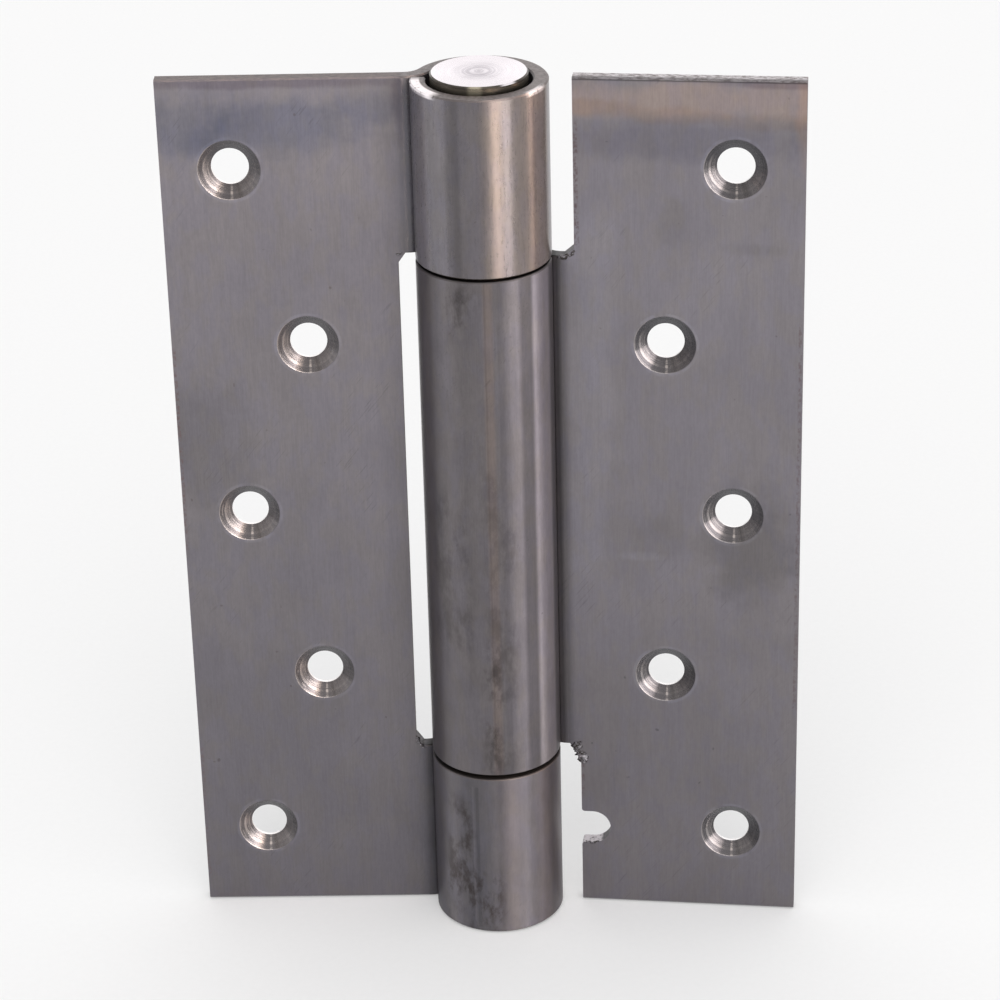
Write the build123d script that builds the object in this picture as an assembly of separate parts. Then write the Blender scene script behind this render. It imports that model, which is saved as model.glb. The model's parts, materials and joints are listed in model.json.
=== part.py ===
from build123d import *
from math import asin, atan2, cos, degrees, radians, sin, sqrt, tan
import os

# Adjustable single-action spring butt hinge, about 6 in by 4 in, lying nearly flat open.
# Millimetres. +Z runs up the pin axis, -Y faces the viewer, and the origin is on the
# pin axis at the hinge's bottom edge. The fixed leaf lies along -X and the sprung leaf
# along +X, swung a few degrees toward the viewer.

# Leaves
HINGE_HEIGHT = 152.0
LEAF_REACH = 51.4
PLATE_THICKNESS = 2.5
PLATE_SETBACK = 1.0
REST_ANGLE = 6.1
EDGE_BREAK = 0.25

# Knuckles rolled from the plates
KNUCKLE_RADIUS = 11.0
BEND_RADIUS = 4.0
SEAM_GAP = 0.24
LOWER_KNUCKLE_LENGTH = 30.6
LOWER_JOINT_GAP = 0.7
UPPER_KNUCKLE_LENGTH = 29.9
UPPER_JOINT_GAP = 0.4

# Cut-outs beside the other leaf's knuckles, with the fills left in their corners
FIXED_EDGE_GAP = 2.9
FIXED_FILL_WIDTH = 1.2
FIXED_FILL_HEIGHT = 1.7
SPRUNG_EDGE_GAP = 3.5
UPPER_FILL_WIDTH = 1.6
UPPER_FILL_HEIGHT = 1.4
LOWER_FILL_WIDTH = 1.8
LOWER_FILL_HEIGHT = 3.2

# Screw holes, five in each leaf, in two columns that alternate
OUTER_COLUMN = 40.3
INNER_COLUMN = 29.1
END_HOLE_MARGIN = 15.0
FIXED_HOLES_DROP = 0.2
SPRUNG_HOLES_RISE = 0.1
SCREW_HOLE_DIAMETER = 6.1
COUNTERSINK_DIAMETER = 10.1
COUNTERSINK_ANGLE = 90.0

# Notch in the sprung leaf that clears the tension pin and the setting rod
NOTCH_LEVEL = 14.8
NOTCH_WIDTH = 6.3
NOTCH_DEPTH = 5.0
NOTCH_MOUTH_RADIUS = 0.5

# Window in the lower knuckle, by the angles that the tension pin travels between
PIN_TIGHT_ANGLE = 17.0
PIN_SLACK_ANGLE = 95.0

# Clearances
RUNNING_CLEARANCE = 0.06
SEAT_CLEARANCE = 0.03
LOOSE_CLEARANCE = 0.3
FACE_CLEARANCE = 0.1
PIN_SINK = 0.3

# Plugs that close the ends of the barrel, the pintle and the cross pins
PLUG_FACE_GAP = 0.7
PLUG_FACE_BEVEL = 0.25
PLUG_RISE = 1.1
PLUG_NECK_DEPTH = 5.0
PINTLE_DIAMETER = 10.0
CROSS_PIN_DIAMETER = 3.0
TOP_PIN_LENGTH = 13.5
TOP_PIN_DROP = 15.0
BOTTOM_PLUG_LENGTH = 6.0
BOTTOM_PLUG_SINK = 0.4
BOTTOM_PIN_LENGTH = 8.0
TURNED_CHAMFER = 0.6

# Bearings
WASHER_THICKNESS = 1.2
UPPER_BUSH_LENGTH = 11.0
LOWER_BUSH_LENGTH = 10.0

# Torsion spring and the two pieces that hold its ends
WIRE_DIAMETER = 2.8
COIL_CLEARANCE = 0.8
COIL_PITCH = 3.5
TANG_BEND_RADIUS = 2.0
TANG_OVERHANG = 3.6
GUIDE_CLEARANCE = 0.9
SLOT_DEPTH = 6.0
ANCHOR_LENGTH = 12.0
ANCHOR_PIN_LENGTH = 7.0

# Tension adjuster and its pin
ADJUSTER_CROSS_HOLES = 2
TENSION_PIN_DIAMETER = 4.0
TENSION_PIN_PROUD = 1.5
TENSION_PIN_START = 1.0

# Sizes that follow from those above
BORE_RADIUS = KNUCKLE_RADIUS - PLATE_THICKNESS
PLATE_BACK = PLATE_SETBACK + PLATE_THICKNESS
LOWER_KNUCKLE_TOP = LOWER_KNUCKLE_LENGTH
MIDDLE_KNUCKLE_BOTTOM = LOWER_KNUCKLE_TOP + LOWER_JOINT_GAP
UPPER_KNUCKLE_BOTTOM = HINGE_HEIGHT - UPPER_KNUCKLE_LENGTH
MIDDLE_KNUCKLE_TOP = UPPER_KNUCKLE_BOTTOM - UPPER_JOINT_GAP
FIXED_LEAF_EDGE = KNUCKLE_RADIUS + FIXED_EDGE_GAP
SPRUNG_LEAF_EDGE = KNUCKLE_RADIUS + SPRUNG_EDGE_GAP
HOLE_PITCH = (HINGE_HEIGHT - 2 * END_HOLE_MARGIN) / 4
FIXED_HOLES_MIDDLE = HINGE_HEIGHT / 2 - FIXED_HOLES_DROP
SPRUNG_HOLES_MIDDLE = HINGE_HEIGHT / 2 + SPRUNG_HOLES_RISE
SEAT_RADIUS = BORE_RADIUS - SEAT_CLEARANCE
TURNING_RADIUS = BORE_RADIUS - RUNNING_CLEARANCE
JOURNAL_RADIUS = PINTLE_DIAMETER / 2
JOURNAL_BORE = JOURNAL_RADIUS + RUNNING_CLEARANCE
WASHER_BORE = JOURNAL_RADIUS + LOOSE_CLEARANCE
CROSS_PIN_RADIUS = CROSS_PIN_DIAMETER / 2
CROSS_PIN_HOLE = CROSS_PIN_RADIUS + SEAT_CLEARANCE
PIN_OUTER_END = KNUCKLE_RADIUS - PIN_SINK
ADJUSTER_BOTTOM = BOTTOM_PLUG_SINK + BOTTOM_PLUG_LENGTH + FACE_CLEARANCE
LOWER_BUSH_TOP = MIDDLE_KNUCKLE_BOTTOM + LOWER_BUSH_LENGTH
LOWER_WASHER_BOTTOM = MIDDLE_KNUCKLE_BOTTOM - FACE_CLEARANCE - WASHER_THICKNESS
ADJUSTER_SHOULDER = LOWER_WASHER_BOTTOM - FACE_CLEARANCE
UPPER_BUSH_BOTTOM = MIDDLE_KNUCKLE_TOP - UPPER_BUSH_LENGTH
UPPER_WASHER_BOTTOM = MIDDLE_KNUCKLE_TOP + FACE_CLEARANCE
PLUG_SHOULDER = UPPER_WASHER_BOTTOM + WASHER_THICKNESS + FACE_CLEARANCE
PLUG_TOP = HINGE_HEIGHT + PLUG_RISE
TOP_PIN_LEVEL = HINGE_HEIGHT - TOP_PIN_DROP
BOTTOM_PIN_LEVEL = BOTTOM_PLUG_SINK + BOTTOM_PLUG_LENGTH / 2
TENSION_PIN_RADIUS = TENSION_PIN_DIAMETER / 2
WINDOW_HALF = TENSION_PIN_RADIUS + LOOSE_CLEARANCE
BACK = 90.0
SPRUNG_BACK = BACK - REST_ANGLE
ON_AXIS = (Align.CENTER, Align.CENTER, Align.MIN)

# The spring fills what length the bush and the anchor leave it, in whole turns
WIRE_RADIUS = WIRE_DIAMETER / 2
COIL_RADIUS = BORE_RADIUS - COIL_CLEARANCE - WIRE_RADIUS
GUIDE_RADIUS = COIL_RADIUS - WIRE_RADIUS - GUIDE_CLEARANCE
SLOT_WIDTH = WIRE_DIAMETER + 2 * LOOSE_CLEARANCE
LOWER_SLOT_FLOOR = LOWER_BUSH_TOP + FACE_CLEARANCE
LOWER_TANG = LOWER_SLOT_FLOOR + LOOSE_CLEARANCE + WIRE_RADIUS
HIGHEST_TANG = UPPER_BUSH_BOTTOM - ANCHOR_LENGTH - LOOSE_CLEARANCE - WIRE_RADIUS
COIL_TURNS = int((HIGHEST_TANG - LOWER_TANG) / COIL_PITCH)
UPPER_TANG = LOWER_TANG + COIL_PITCH * COIL_TURNS
ANCHOR_BOTTOM = UPPER_TANG + WIRE_RADIUS + LOOSE_CLEARANCE
ANCHOR_TOP = ANCHOR_BOTTOM + ANCHOR_LENGTH
ANCHOR_PIN_LEVEL = ANCHOR_TOP - ANCHOR_LENGTH / 2


def polar(radius, angle):
    """A point on a circle about the pin axis, by its angle in degrees."""
    return (radius * cos(radians(angle)), radius * sin(radians(angle)))


def radial_rod(radius, start, end, level, angle):
    """A cylinder that points out from the pin axis at a height and an angle."""
    bar = Cylinder(radius, end - start, align=ON_AXIS)
    return Rot(0, 0, angle) * Pos(start, 0, level) * Rot(0, 90, 0) * bar


def cross_pin(length, end, level, angle, radius=CROSS_PIN_RADIUS):
    """A straight pin with broken edges, driven in from outside the barrel."""
    pin = radial_rod(radius, end - length, end, level, angle)
    return chamfer(pin.edges().filter_by(GeomType.CIRCLE), EDGE_BREAK)


def cross_pin_hole(depth, level, angle):
    """The hole for a cross pin, open outside and just deeper than the pin."""
    start = PIN_OUTER_END - depth - FACE_CLEARANCE
    return radial_rod(CROSS_PIN_HOLE, start, 2 * KNUCKLE_RADIUS, level, angle)


def turned(*half_section):
    """A turned piece from its half section, given as radius and height."""
    profile = make_face(Polyline(*half_section, close=True))
    return revolve(Plane.XZ * profile, Axis.Z)


def curl_section():
    """Section of the S-bend and rolled knuckle of a leaf that lies along -X."""
    ring = KNUCKLE_RADIUS - PLATE_THICKNESS / 2
    front = BEND_RADIUS + PLATE_THICKNESS / 2
    back = BEND_RADIUS - PLATE_THICKNESS / 2
    center_y = PLATE_SETBACK + front
    center_x = -sqrt((ring + BEND_RADIUS) ** 2 - center_y**2)
    full_turn = 90 - degrees(atan2(center_y, -center_x))
    join = 90 + full_turn
    lip_y = center_y - sqrt(front**2 - (KNUCKLE_RADIUS + center_x) ** 2) - SEAM_GAP
    lip = 180 - degrees(asin(lip_y / KNUCKLE_RADIUS))
    far = (join + lip) / 2 - 180

    def bend(radius, turn):
        angle = radians(turn)
        return (center_x + radius * sin(angle), center_y - radius * cos(angle))

    outline = [
        ThreePointArc(bend(front, 0), bend(front, full_turn / 2), bend(front, full_turn)),
        ThreePointArc(bend(front, full_turn), polar(BORE_RADIUS, far), polar(BORE_RADIUS, lip)),
        Line(polar(BORE_RADIUS, lip), polar(KNUCKLE_RADIUS, lip)),
        ThreePointArc(polar(KNUCKLE_RADIUS, lip), polar(KNUCKLE_RADIUS, far), bend(back, full_turn)),
        ThreePointArc(bend(back, full_turn), bend(back, full_turn / 2), bend(back, 0)),
        Line(bend(back, 0), bend(front, 0)),
    ]
    return make_face(Wire(outline)), -center_x


def knuckle(bottom, top):
    """One rolled knuckle with its S-bend, for a leaf that lies along -X."""
    section, _ = curl_section()
    return extrude(Pos(0, 0, bottom) * section, top - bottom)


def plate(outline):
    """A flat plate from its outline, given as reach from the axis and height, on -X."""
    mirrored = [(-reach, level) for reach, level in outline]
    profile = make_face(Polyline(*mirrored, close=True))
    return extrude(Pos(0, PLATE_BACK, 0) * (Plane.XZ * profile), PLATE_THICKNESS)


def screw_holes(middle):
    """Five countersunk holes for a leaf that lies along -X, cut from the front."""
    hole = SCREW_HOLE_DIAMETER / 2
    mouth = COUNTERSINK_DIAMETER / 2
    slope = tan(radians(COUNTERSINK_ANGLE / 2))
    depth = (mouth - hole) / slope
    above = PLATE_THICKNESS
    cutter = turned(
        (0, -above),
        (mouth + slope * above, -above),
        (hole, depth),
        (hole, PLATE_THICKNESS + above),
        (0, PLATE_THICKNESS + above),
    )
    cuts = []
    for row in range(-2, 3):
        column = INNER_COLUMN if row % 2 else OUTER_COLUMN
        place = Pos(-column, PLATE_SETBACK, middle + row * HOLE_PITCH)
        cuts.append(place * Rot(-90, 0, 0) * cutter)
    return cuts


def rounded_rims(leaf, levels):
    """Breaks the sharp outer rims of a leaf at the given heights."""
    edges = []
    for edge in leaf.edges():
        middle = edge @ 0.5
        flat = abs((edge @ 0).Z - (edge @ 1).Z) < 1e-6 and abs(middle.Z - (edge @ 0).Z) < 1e-6
        if not flat or not any(abs(middle.Z - level) < 1e-6 for level in levels):
            continue
        radius = sqrt(middle.X**2 + middle.Y**2)
        if radius > KNUCKLE_RADIUS - 1e-6 and abs(edge.tangent_at(0.5).Y) < 0.999:
            edges.append(edge)
    return chamfer(edges, EDGE_BREAK)


def fixed_leaf():
    """Fixed leaf: plate, upper and lower knuckles, window and cross-pin holes."""
    _, flat_end = curl_section()
    cut = FIXED_LEAF_EDGE
    fill = cut - FIXED_FILL_WIDTH
    leaf = plate(
        [
            (LEAF_REACH, 0),
            (flat_end, 0),
            (flat_end, LOWER_KNUCKLE_TOP),
            (fill, LOWER_KNUCKLE_TOP),
            (cut, LOWER_KNUCKLE_TOP + FIXED_FILL_HEIGHT),
            (cut, UPPER_KNUCKLE_BOTTOM - FIXED_FILL_HEIGHT),
            (fill, UPPER_KNUCKLE_BOTTOM),
            (flat_end, UPPER_KNUCKLE_BOTTOM),
            (flat_end, HINGE_HEIGHT),
            (LEAF_REACH, HINGE_HEIGHT),
        ]
    )
    leaf += knuckle(0, LOWER_KNUCKLE_TOP)
    leaf += knuckle(UPPER_KNUCKLE_BOTTOM, HINGE_HEIGHT)
    leaf = rounded_rims(leaf, [0, LOWER_KNUCKLE_TOP, UPPER_KNUCKLE_BOTTOM, HINGE_HEIGHT])
    leaf -= screw_holes(FIXED_HOLES_MIDDLE)
    leaf -= pin_window()
    leaf -= cross_pin_hole(PLATE_THICKNESS, TOP_PIN_LEVEL, BACK)
    leaf -= cross_pin_hole(PLATE_THICKNESS, BOTTOM_PIN_LEVEL, BACK)
    return leaf


def pin_window():
    """Round-ended window in the lower knuckle that the tension pin travels along."""
    far = 2 * KNUCKLE_RADIUS
    middle = (PIN_TIGHT_ANGLE + PIN_SLACK_ANGLE) / 2
    slice_edge = [
        Line((0, 0), polar(far, PIN_TIGHT_ANGLE)),
        ThreePointArc(polar(far, PIN_TIGHT_ANGLE), polar(far, middle), polar(far, PIN_SLACK_ANGLE)),
        Line(polar(far, PIN_SLACK_ANGLE), (0, 0)),
    ]
    window = extrude(Pos(0, 0, NOTCH_LEVEL - WINDOW_HALF) * make_face(Wire(slice_edge)), 2 * WINDOW_HALF)
    for angle in (PIN_TIGHT_ANGLE, PIN_SLACK_ANGLE):
        window += radial_rod(WINDOW_HALF, 0, far, NOTCH_LEVEL, angle)
    return window


def notch():
    """Round-ended notch in the sprung leaf's inner edge, for a leaf along -X."""
    half = NOTCH_WIDTH / 2
    end = SPRUNG_LEAF_EDGE + NOTCH_DEPTH - half
    start = SPRUNG_LEAF_EDGE - NOTCH_DEPTH
    middle = (start + end) / 2
    through = 3 * PLATE_THICKNESS
    cut = Pos(-middle, PLATE_SETBACK, NOTCH_LEVEL) * Box(end - start, through, NOTCH_WIDTH)
    cut += Pos(-end, PLATE_SETBACK, NOTCH_LEVEL) * Rot(90, 0, 0) * Cylinder(half, through)
    return cut


def sprung_leaf():
    """Sprung leaf: plate with its notch, middle knuckle and anchor-pin hole."""
    _, flat_end = curl_section()
    cut = SPRUNG_LEAF_EDGE
    leaf = plate(
        [
            (LEAF_REACH, 0),
            (cut, 0),
            (cut, MIDDLE_KNUCKLE_BOTTOM - LOWER_FILL_HEIGHT),
            (cut - LOWER_FILL_WIDTH, MIDDLE_KNUCKLE_BOTTOM),
            (flat_end, MIDDLE_KNUCKLE_BOTTOM),
            (flat_end, MIDDLE_KNUCKLE_TOP),
            (cut - UPPER_FILL_WIDTH, MIDDLE_KNUCKLE_TOP),
            (cut, MIDDLE_KNUCKLE_TOP + UPPER_FILL_HEIGHT),
            (cut, HINGE_HEIGHT),
            (LEAF_REACH, HINGE_HEIGHT),
        ]
    )
    leaf -= notch()
    mouth = []
    for edge in leaf.edges().filter_by(Axis.Y):
        place = edge @ 0.5
        side = abs(abs(place.Z - NOTCH_LEVEL) - NOTCH_WIDTH / 2)
        if side < 1e-6 and abs(place.X + SPRUNG_LEAF_EDGE) < 1e-6:
            mouth.append(edge)
    leaf = fillet(mouth, NOTCH_MOUTH_RADIUS)
    leaf += knuckle(MIDDLE_KNUCKLE_BOTTOM, MIDDLE_KNUCKLE_TOP)
    leaf = rounded_rims(leaf, [0, MIDDLE_KNUCKLE_BOTTOM, MIDDLE_KNUCKLE_TOP, HINGE_HEIGHT])
    leaf -= screw_holes(SPRUNG_HOLES_MIDDLE)
    leaf -= cross_pin_hole(PLATE_THICKNESS, ANCHOR_PIN_LEVEL, BACK)
    return Rot(0, 0, -REST_ANGLE) * mirror(leaf, about=Plane.YZ)


def top_plug():
    """Top plug with its raised face, and the pintle that the sprung leaf turns on."""
    face = BORE_RADIUS - PLUG_FACE_GAP
    neck = HINGE_HEIGHT - PLUG_NECK_DEPTH
    pintle_end = UPPER_BUSH_BOTTOM
    plug = turned(
        (0, pintle_end),
        (JOURNAL_RADIUS - TURNED_CHAMFER, pintle_end),
        (JOURNAL_RADIUS, pintle_end + TURNED_CHAMFER),
        (JOURNAL_RADIUS, PLUG_SHOULDER),
        (SEAT_RADIUS, PLUG_SHOULDER),
        (SEAT_RADIUS, neck - TURNED_CHAMFER),
        (SEAT_RADIUS - TURNED_CHAMFER, neck),
        (face, neck),
        (face, PLUG_TOP - PLUG_FACE_BEVEL),
        (face - PLUG_FACE_BEVEL, PLUG_TOP),
        (0, PLUG_TOP),
    )
    return plug - cross_pin_hole(TOP_PIN_LENGTH, TOP_PIN_LEVEL, BACK)


def bottom_plug():
    """Plug that closes the lower knuckle and carries the adjuster."""
    top = BOTTOM_PLUG_SINK + BOTTOM_PLUG_LENGTH
    plug = turned(
        (0, BOTTOM_PLUG_SINK),
        (SEAT_RADIUS - TURNED_CHAMFER, BOTTOM_PLUG_SINK),
        (SEAT_RADIUS, BOTTOM_PLUG_SINK + TURNED_CHAMFER),
        (SEAT_RADIUS, top),
        (0, top),
    )
    return plug - cross_pin_hole(BOTTOM_PIN_LENGTH, BOTTOM_PIN_LEVEL, BACK)


def washer(bottom):
    """Thrust washer inside the bore at a joint between knuckles."""
    top = bottom + WASHER_THICKNESS
    return turned((WASHER_BORE, bottom), (TURNING_RADIUS, bottom), (TURNING_RADIUS, top), (WASHER_BORE, top))


def bush(bottom, length):
    """Bearing bush pressed into the middle knuckle."""
    top = bottom + length
    corner = TURNED_CHAMFER
    return turned(
        (JOURNAL_BORE, bottom),
        (SEAT_RADIUS - corner, bottom),
        (SEAT_RADIUS, bottom + corner),
        (SEAT_RADIUS, top - corner),
        (SEAT_RADIUS - corner, top),
        (JOURNAL_BORE, top),
    )


def tang_slot(bottom, top):
    """Slot right across the spring's guide that takes a tang of the spring."""
    return Pos(0, 0, bottom) * Box(3 * COIL_RADIUS, SLOT_WIDTH, top - bottom, align=ON_AXIS)


def tension_adjuster():
    """Drum with its cross holes, the lower journal and the slotted spring guide."""
    guide_top = LOWER_SLOT_FLOOR + SLOT_DEPTH
    drum = turned(
        (0, ADJUSTER_BOTTOM),
        (TURNING_RADIUS - TURNED_CHAMFER, ADJUSTER_BOTTOM),
        (TURNING_RADIUS, ADJUSTER_BOTTOM + TURNED_CHAMFER),
        (TURNING_RADIUS, ADJUSTER_SHOULDER),
        (JOURNAL_RADIUS, ADJUSTER_SHOULDER),
        (JOURNAL_RADIUS, LOWER_BUSH_TOP),
        (GUIDE_RADIUS, LOWER_BUSH_TOP),
        (GUIDE_RADIUS, guide_top),
        (0, guide_top),
    )
    drum -= tang_slot(LOWER_SLOT_FLOOR, guide_top + SLOT_DEPTH)
    hole = TENSION_PIN_RADIUS + FACE_CLEARANCE
    for turn in range(ADJUSTER_CROSS_HOLES):
        angle = PIN_SLACK_ANGLE + turn * 180 / ADJUSTER_CROSS_HOLES
        drum -= radial_rod(hole, -2 * KNUCKLE_RADIUS, 2 * KNUCKLE_RADIUS, NOTCH_LEVEL, angle)
    return drum


def tension_pin():
    """Pin in a cross hole of the adjuster, standing proud of the window."""
    reach = KNUCKLE_RADIUS + TENSION_PIN_PROUD
    length = reach - TENSION_PIN_START
    return cross_pin(length, reach, NOTCH_LEVEL, PIN_SLACK_ANGLE, TENSION_PIN_RADIUS)


def spring_anchor():
    """Plug pinned in the middle knuckle, with a slotted guide for the upper tang."""
    guide_bottom = ANCHOR_BOTTOM - SLOT_DEPTH
    plug = turned(
        (0, guide_bottom),
        (GUIDE_RADIUS, guide_bottom),
        (GUIDE_RADIUS, ANCHOR_BOTTOM),
        (SEAT_RADIUS, ANCHOR_BOTTOM),
        (SEAT_RADIUS, ANCHOR_TOP - TURNED_CHAMFER),
        (SEAT_RADIUS - TURNED_CHAMFER, ANCHOR_TOP),
        (0, ANCHOR_TOP),
    )
    plug -= tang_slot(guide_bottom - SLOT_DEPTH, ANCHOR_BOTTOM)
    return plug - cross_pin_hole(ANCHOR_PIN_LENGTH, ANCHOR_PIN_LEVEL, SPRUNG_BACK)


def torsion_spring():
    """Coil with a tang across the middle at each end, swept from one wire."""
    tang_end = sqrt((COIL_RADIUS - TANG_BEND_RADIUS) ** 2 - TANG_BEND_RADIUS**2)
    entry = degrees(atan2(TANG_BEND_RADIUS, tang_end))
    rise = UPPER_TANG - LOWER_TANG
    turns = COIL_TURNS - 2 * entry / 360
    coil = Pos(0, 0, LOWER_TANG) * Rot(0, 0, entry) * Helix(rise / turns, rise, COIL_RADIUS)
    inward = Vector(-1, 0, 0)
    lower_corner = Vector(tang_end, 0, LOWER_TANG)
    upper_corner = Vector(tang_end, 0, UPPER_TANG)
    lower_run = Line(Vector(-TANG_OVERHANG, 0, LOWER_TANG), lower_corner)
    lower_bend = Spline(lower_corner, coil @ 0, tangents=[-inward, coil % 0])
    upper_bend = Spline(coil @ 1, upper_corner, tangents=[coil % 1, inward])
    upper_run = Line(upper_corner, Vector(-TANG_OVERHANG, 0, UPPER_TANG))
    wire = Wire([lower_run, lower_bend, coil, upper_bend, upper_run])
    return sweep(Plane(wire @ 0, z_dir=wire % 0) * Circle(WIRE_RADIUS), path=wire)


def write_parts(pieces):
    """Writes each piece to its own file under its own name."""
    os.makedirs("parts", exist_ok=True)
    for name, piece in pieces.items():
        piece.label = name
        export_step(piece, f"parts/{name}.step")


write_parts(
    {
        "fixed_leaf": fixed_leaf(),
        "sprung_leaf": sprung_leaf(),
        "top_plug": top_plug(),
        "top_plug_pin": cross_pin(TOP_PIN_LENGTH, PIN_OUTER_END, TOP_PIN_LEVEL, BACK),
        "bottom_plug": bottom_plug(),
        "bottom_plug_pin": cross_pin(BOTTOM_PIN_LENGTH, PIN_OUTER_END, BOTTOM_PIN_LEVEL, BACK),
        "upper_thrust_washer": washer(UPPER_WASHER_BOTTOM),
        "lower_thrust_washer": washer(LOWER_WASHER_BOTTOM),
        "upper_bush": bush(UPPER_BUSH_BOTTOM, UPPER_BUSH_LENGTH),
        "lower_bush": bush(MIDDLE_KNUCKLE_BOTTOM, LOWER_BUSH_LENGTH),
        "spring_anchor": spring_anchor(),
        "spring_anchor_pin": cross_pin(ANCHOR_PIN_LENGTH, PIN_OUTER_END, ANCHOR_PIN_LEVEL, SPRUNG_BACK),
        "torsion_spring": torsion_spring(),
        "tension_adjuster": tension_adjuster(),
        "tension_pin": tension_pin(),
    }
)
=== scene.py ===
import json
from math import atan2, cos, pi, radians, sin
import bmesh
import bpy
from mathutils import Matrix, Vector, noise

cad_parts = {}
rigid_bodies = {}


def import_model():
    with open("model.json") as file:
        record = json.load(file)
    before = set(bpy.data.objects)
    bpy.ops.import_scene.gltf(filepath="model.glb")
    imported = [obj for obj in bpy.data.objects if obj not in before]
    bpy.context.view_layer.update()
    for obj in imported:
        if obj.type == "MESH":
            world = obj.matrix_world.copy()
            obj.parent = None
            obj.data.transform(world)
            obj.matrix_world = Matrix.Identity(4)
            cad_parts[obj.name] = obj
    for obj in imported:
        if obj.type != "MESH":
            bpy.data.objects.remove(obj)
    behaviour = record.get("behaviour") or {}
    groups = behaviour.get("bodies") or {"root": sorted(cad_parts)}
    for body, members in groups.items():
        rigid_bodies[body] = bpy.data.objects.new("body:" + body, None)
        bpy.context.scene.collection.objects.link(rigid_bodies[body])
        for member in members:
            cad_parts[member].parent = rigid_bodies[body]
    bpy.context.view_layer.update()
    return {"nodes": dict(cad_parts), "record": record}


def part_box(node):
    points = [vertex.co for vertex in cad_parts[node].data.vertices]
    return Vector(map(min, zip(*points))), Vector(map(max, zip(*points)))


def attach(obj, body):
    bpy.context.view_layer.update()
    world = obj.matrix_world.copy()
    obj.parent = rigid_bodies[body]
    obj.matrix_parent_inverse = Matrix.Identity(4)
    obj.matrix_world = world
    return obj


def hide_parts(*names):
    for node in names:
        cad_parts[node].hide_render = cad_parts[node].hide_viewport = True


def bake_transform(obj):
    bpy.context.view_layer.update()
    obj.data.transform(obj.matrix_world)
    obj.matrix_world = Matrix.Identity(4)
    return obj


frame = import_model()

NODES = frame["nodes"]
MOUNTS = {mount["name"]: mount for mount in frame["record"]["mounts"]}
MM = 0.001

# Sizes read from the frame
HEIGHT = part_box("fixed_leaf")[1][2]
KNUCKLE_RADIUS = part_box("fixed_leaf")[1][0]
PLATE_BACK = MOUNTS["fixed_leaf_back"]["pos_m"][1]
REST_ANGLE = atan2(MOUNTS["sprung_leaf_back"]["axis"][0], MOUNTS["sprung_leaf_back"]["axis"][1])

# Sizes of the plates, their cut-outs and the spring's coil, as the solids have them
PLATE_THICKNESS = 2.5 * MM
PLATE_FRONT = PLATE_BACK - PLATE_THICKNESS
COUNTERSINK_RADIUS = 5.05 * MM
MIDDLE_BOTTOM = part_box("lower_bush")[0][2]
MIDDLE_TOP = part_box("upper_bush")[1][2]
LOWER_KNUCKLE_TOP = MIDDLE_BOTTOM - 0.7 * MM
UPPER_BOTTOM = MIDDLE_TOP + 0.4 * MM
FIXED_EDGE = 13.9 * MM
SPRUNG_EDGE = 14.5 * MM
NOTCH_LEVEL = 14.8 * MM
NOTCH_HALF = 3.15 * MM
NOTCH_END = 20.0 * MM
FIXED_OUTER_EDGE = 51.1 * MM
SPRUNG_OUTER_EDGE = 51.0 * MM
COIL_BOTTOM = 43.2 * MM
COIL_TOP = 95.7 * MM

# Sizes of the marks and the burrs on the steel; ANGLE_FADE is in degrees
STEP_PITCH = 0.34 * MM
TURNING_PITCH = 0.35 * MM
PLUG_PITCH = 0.9 * MM
RELIEF_DEPTH = 0.03 * MM
TORN_DEPTH = 0.10 * MM
STAIN_FADE = 5 * MM
ANGLE_FADE = 12
SCRATCH_TILT = radians(-38)
BURR_STEPS_PER_MM = 6
BURR_SIDES = 8

# The floor and the lights round the hinge, in metres
FLOOR_SIZE = 6.0
FLOOR_TOP = -0.2 * MM
FLOOR_GLOW = 0.36
WINDOW_DISTANCE = 0.55
WINDOW_LEVEL = 0.30
WINDOW_HEIGHT = 0.60

# The camera, solved from the photograph
CAMERA_PLACE = Vector((0.01461, -0.51745, 0.33243))
CAMERA_YAW = radians(-1.437)
CAMERA_PITCH = radians(-26.17)
CAMERA_ROLL = radians(-1.439)
SENSOR_WIDTH = 36.0
FOCAL_PIXELS = 3467.0
PHOTO_WIDTH = 1000.0


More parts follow.
